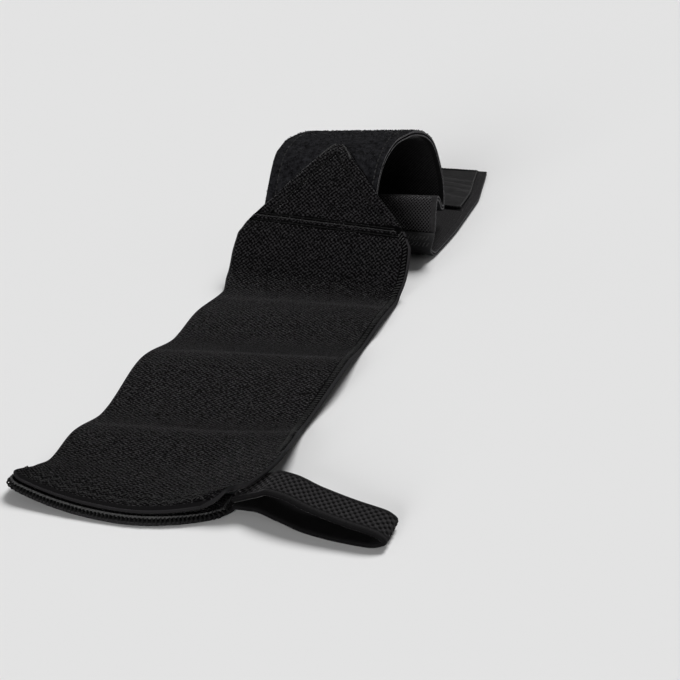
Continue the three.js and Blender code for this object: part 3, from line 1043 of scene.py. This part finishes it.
def hem_edge(inset):
    """A line round the hem's left side, its front and its right side, with an arc at each corner."""
    left, right = (float(value) for value in hem.reach(0.0))
    inner = HEM_CORNER - inset
    turn = np.linspace(0, math.pi / 2, 12)
    corner_along = HEM_CORNER - inner * np.sin(turn)
    corner_side = HEM_CORNER - inner * np.cos(turn)
    sides = np.linspace(hem.length - 4 * MM, HEM_CORNER, SIDE_STEPS)
    ends = np.full(SIDE_STEPS, inset)
    front = np.linspace(HEM_CORNER - left, right - HEM_CORNER, LINE_STEPS)
    along = [sides, corner_along, np.full(LINE_STEPS, inset), corner_along[::-1], sides[::-1]]
    side = [ends - left, corner_side - left, front, right - corner_side[::-1], right - ends]
    return np.concatenate(along), np.concatenate(side)


hem_line = line_on(hem, *hem_edge(OVERLOCK_REACH), OVERLOCK_PITCH, from_middle=True)
places, headings, uprights = facing_out(hem_line)
hem_seeds = seed_mesh("hem_edge", (places + uprights * HEM_LIFT, headings, uprights))
hem_overlock = grow("hem_overlock", hem_seeds, OVERLOCK, DARK_THREAD, Slant=0.14, **TIDY)
chain_row = line_on(hem, *hem_edge(CHAIN_INSET), OVERLOCK_PITCH, lift=HEM_LIFT + 0.2 * MM)
hem_chain = sew("hem_chain", chain_row, LIGHT_THREAD, Length=1.9 * MM, Thread=0.3 * MM, Slant=0.25)

# %% [markdown]
# ## Rows of stitches
# A zigzag holds the hem and the loop to the band. Straight rows sew the point to the strap, the tapes to
# the web and the patch to the tab. A zigzag is a straight row whose stitches swing left and right in turn.

# %% Rows on the band
SEAM_INSET = 3 * MM
CORD_DROP = 1.3 * MM
NEAR_INSET = 6 * MM
TIP_INSET = 1.2 * MM


def across_row(along, inset, pitch, lift, slant=0.0):
    """Seeds on a line across the band."""
    left, right = (float(value) for value in band.reach(along))
    side = np.linspace(inset - left, right - inset, LINE_STEPS)
    return line_on(band, along - slant * side, side, pitch, lift=lift)


def seam_row(drop, pitch, lift):
    """Seeds on a line across the band, a little before the base of the point."""
    return across_row(seam_at - drop, SEAM_INSET, pitch, lift, SEAM_SLANT)


def both_sides(cloth, along, side, pitch, lift=0.0):
    """Two lines, the same distance to the right and to the left of the middle."""
    return joined(*(line_on(cloth, along, sign * side, pitch, lift=lift) for sign in (1, -1)))


seam_rows = joined(*(seam_row(drop, pitch=2.6 * MM, lift=-0.5 * MM) for drop in SEAM_LINES))
seam_stitches = sew("seam_stitches", seam_rows, DARK_THREAD, Thread=0.26 * MM)
cord_row = seam_row(CORD_DROP, pitch=2.2 * MM, lift=0.0)
seam_cord = sew("seam_cord", cord_row, PALE_THREAD, Thread=0.2 * MM)

point_along = np.linspace(seam_at, band.length - 7 * MM, LINE_STEPS)
point_side = border_side(point_along, BORDER_INSET)
point_rows = both_sides(band, point_along, point_side, pitch=2.2 * MM, lift=-0.15 * MM)
point_stitches = sew("point_stitches", point_rows, DARK_THREAD)

tip_along = np.linspace(band.length - 9 * MM, band.length - TIP_INSET, 60)
tip_rows = both_sides(band, tip_along, band.reach(tip_along)[1] - TIP_INSET, pitch=2 * MM)
tip_stitches = sew("tip_stitches", tip_rows, LIGHT_THREAD, Thread=0.24 * MM)

near_lines = joined(*(across_row(row, NEAR_INSET, pitch=1.7 * MM, lift=-0.1 * MM) for row in NEAR_ROWS))
near_zigzag = sew("near_zigzag", near_lines, PALE_THREAD, Length=2.8 * MM, Thread=0.22 * MM, Swing=0.85)

# %% Rows on the strap
EDGE_ROW = 4.6 * MM
PATCH_ROW = 0.3 * MM
CORD_PITCH = 1.6 * MM
CORD_LIFT = 0.25 * MM
HOOK_MARGIN = 2.6 * MM
HOOK_PITCH = 1.7 * MM
HOOK_ROWS = (2.4 * MM, 5.2 * MM)
strap_half = STRAP_WIDTH / 2

pile_along = np.linspace(3 * MM, tab_seam - 3 * MM, LONG_STEPS)
pile_rows = both_sides(pile, pile_along, strap_half - EDGE_ROW, pitch=2.7 * MM, lift=0.12 * MM)
pile_stitches = sew("pile_stitches", pile_rows, PALE_THREAD, Length=1.7 * MM, Thread=0.26 * MM)

patch_half = patch_width / 2 - PATCH_ROW
patch_along = np.linspace(patch_start + PATCH_ROW, patch_end - PATCH_ROW, LINE_STEPS)
patch_across = np.linspace(-patch_half, patch_half, 200)
patch_rows = joined(
    both_sides(patch, patch_along, patch_half, CORD_PITCH, CORD_LIFT),
    line_on(patch, patch_along[0], patch_across, CORD_PITCH, lift=CORD_LIFT),
    line_on(patch, patch_along[-1], patch_across, CORD_PITCH, lift=CORD_LIFT),
)
patch_cord = sew("patch_cord", patch_rows, LIGHT_THREAD, Thread=0.34 * MM)

hook_side = np.linspace(HOOK_MARGIN - strap_half, strap_half - HOOK_MARGIN, LINE_STEPS)
hook_rows = joined(
    *(line_on(hook_base, tab_seam + row, hook_side, HOOK_PITCH, face=-1, lift=0.05 * MM) for row in HOOK_ROWS)
)
hook_stitches = sew("hook_stitches", hook_rows, LIGHT_THREAD, Length=2.6 * MM, Slant=0.95)

# %% [markdown]
# ## Hooks and pile
# The hook field covers the tab's inner face in close rows, which face opposite ways in turn so that the
# tape holds both ways. The pile is thousands of brushed loops. Hair would give the fuzz too, but it isn't a
# mesh that can be passed on. So small bent fibres with few sides are scattered on the pile's own mesh, on
# the outer face alone.

# %% Hook field
HOOK_START = 26 * MM
hook_along = np.linspace(tab_seam + HOOK_START, strap_length - 3 * MM, 500)
hook_lines = []
for order, side in enumerate(np.arange(hook_side[0], hook_side[-1], HOOK_PITCH)):
    places, headings, uprights = line_on(hook_base, hook_along, side, HOOK_PITCH, face=-1)
    hook_lines.append((places, headings * (1 if order % 2 else -1), uprights))
hook_field = grow("hook_field", seed_mesh("hook_seeds", joined(*hook_lines)), HOOKS, NYLON)


# %% Pile
def pile_tree():
    """Scatters small bent fibres on the outer face of the pile."""
    tree, given = new_tree("pile_fibres", {"Density": 700000.0, "Fibre": 0.075 * MM, "Size": 0.42 * MM})
    on_top = named(tree, "outer", "FLOAT") > 0.9
    scatter = {"Mesh": given["Seeds"], "Selection": on_top, "Density": given["Density"], "Seed": 5}
    points = add(tree, "GeometryNodeDistributePointsOnFaces", scatter, distribute_method="RANDOM")
    turn = {"Resolution": 4, "Radius": given["Size"], "Start Angle": 0.0, "Sweep Angle": 3.6}
    arc = add(tree, "GeometryNodeCurveArc", turn, mode="RADIUS")
    upright = add(tree, "GeometryNodeTransform", {"Geometry": arc, "Rotation": (math.pi / 2, 0, 0)})
    rotation = spun(points.beside("Rotation"), (0, 0, 1), random_value(tree, 0.0, 2 * math.pi, 31))
    rotation = spun(rotation, (1, 0, 0), random_value(tree, -0.9, 0.9, 37))
    scale = random_value(tree, 0.6, 1.3, 41)
    finish_tree(points, tube(upright, given["Fibre"], 3), rotation, scale, given["Finish"])
    return tree


pile_fibres = grow("pile_fibres", pile_cloth.data, pile_tree(), FIBRE)

# %% [markdown]
# ## What each piece stands for
# Every cloth replaces its solid and carries its threads, and the size it was cut to is printed. Nothing moves
# here, so all of it rides on the one body.

SHEETS = [
    (band_cloth, "elastic_band", "woven_elastic", (BAND_WIDTH, band.length), "laid",
     ["hem_cloth", "pile_cloth"],
     [band_rungs, seam_stitches, seam_cord, point_stitches, tip_stitches, near_zigzag]),
    (hem_cloth, "end_hem", "woven_elastic", (BAND_WIDTH, hem.length), "laid", ["table"],
     [hem_overlock, hem_chain]),
    (loop_cloth, "thumb_loop", "loop_elastic", (LOOP_WIDTH, loop.length), "folded", ["table"], []),
    (web_cloth, "web_strap", "webbing", (STRAP_WIDTH, strap_length), "folded", ["hook_cloth"], []),
    (pile_cloth, "pile_tape", "pile", (STRAP_WIDTH, tab_seam), "folded", ["web_cloth"],
     [pile_fibres, pile_stitches]),
    (hook_cloth, "hook_tape", "hook", (STRAP_WIDTH, HOOK_LENGTH), "folded", ["table"],
     [hook_field, hook_stitches]),
    (patch_cloth, "satin_patch", "satin", (patch_width, PATCH_LENGTH), "laid", ["web_cloth"], [patch_cord]),
]
for cloth_piece, node, slot, flat, held, under, threads in SHEETS:
    for piece in (cloth_piece, *threads):
        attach(piece, "root")
    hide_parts(node)
    print(f"{cloth_piece.name}: cut {flat[0] / MM:.0f} x {flat[1] / MM:.0f} mm")

# %% [markdown]
# ## Table, light and camera
# The photograph is a product shot: a pale table without an edge, and light from a large soft source above.
# A sun with a wide angle is soft and doesn't fall off, so the table keeps one tone all the way back. The
# world fills the shadows. The camera stands where the fitted view has it, with a lens of 90 mm on a 36 mm
# frame.

# %% Table
TABLE_SIZE = 8.0
TABLE_COLOUR = (0.8, 0.8, 0.8, 1)
far = TABLE_SIZE / 2
table_mesh = bpy.data.meshes.new("table")
table_mesh.from_pydata([(-far, -far, 0), (far, -far, 0), (far, far, 0), (-far, far, 0)], [], [(0, 1, 2, 3)])
table_gloss = {"Base Color": TABLE_COLOUR, "Roughness": 0.9, "Specular IOR Level": 0.0}
table_mesh.materials.append(finish("table_tone", table_gloss))
table = shown("table", table_mesh)

# %% Light
WORLD_STRENGTH = 0.1
SUNS = [
    dict(name="back_light", strength=2.82, angle=24, turn=(-40, 0, -10)),
    dict(name="front_fill", strength=2.6, angle=24, turn=(78, 0, -4)),
]
world = bpy.data.worlds.new("studio")
world.use_nodes = True
sky = world.node_tree.nodes["Background"]
sky.inputs["Color"].default_value = (1, 1, 1, 1)
sky.inputs["Strength"].default_value = WORLD_STRENGTH
bpy.context.scene.world = world
for row in SUNS:
    sun_data = bpy.data.lights.new(row["name"], "SUN")
    sun_data.energy = row["strength"]
    sun_data.angle = math.radians(row["angle"])
    shown(row["name"], sun_data).rotation_euler = [math.radians(turn) for turn in row["turn"]]
bpy.context.scene.view_settings.view_transform = "Standard"
print("lights:", [row["name"] for row in SUNS])

# %% Camera
CAMERA_FROM_NEAR_END = np.array([192.0, -435.9, 244.0]) * MM
CAMERA_DOWN = 21.57
CAMERA_TURN = 15.61
camera_data = bpy.data.cameras.new("camera")
camera_data.lens = 90
camera_data.sensor_width = 36
camera_data.clip_start = 0.01
camera = shown("camera", camera_data)
camera.location = CAMERA_FROM_NEAR_END + SHIFT
camera.rotation_euler = (math.radians(90 - CAMERA_DOWN), 0, math.radians(CAMERA_TURN))
bpy.context.scene.camera = camera
print("camera:", [round(value, 4) for value in camera.location])
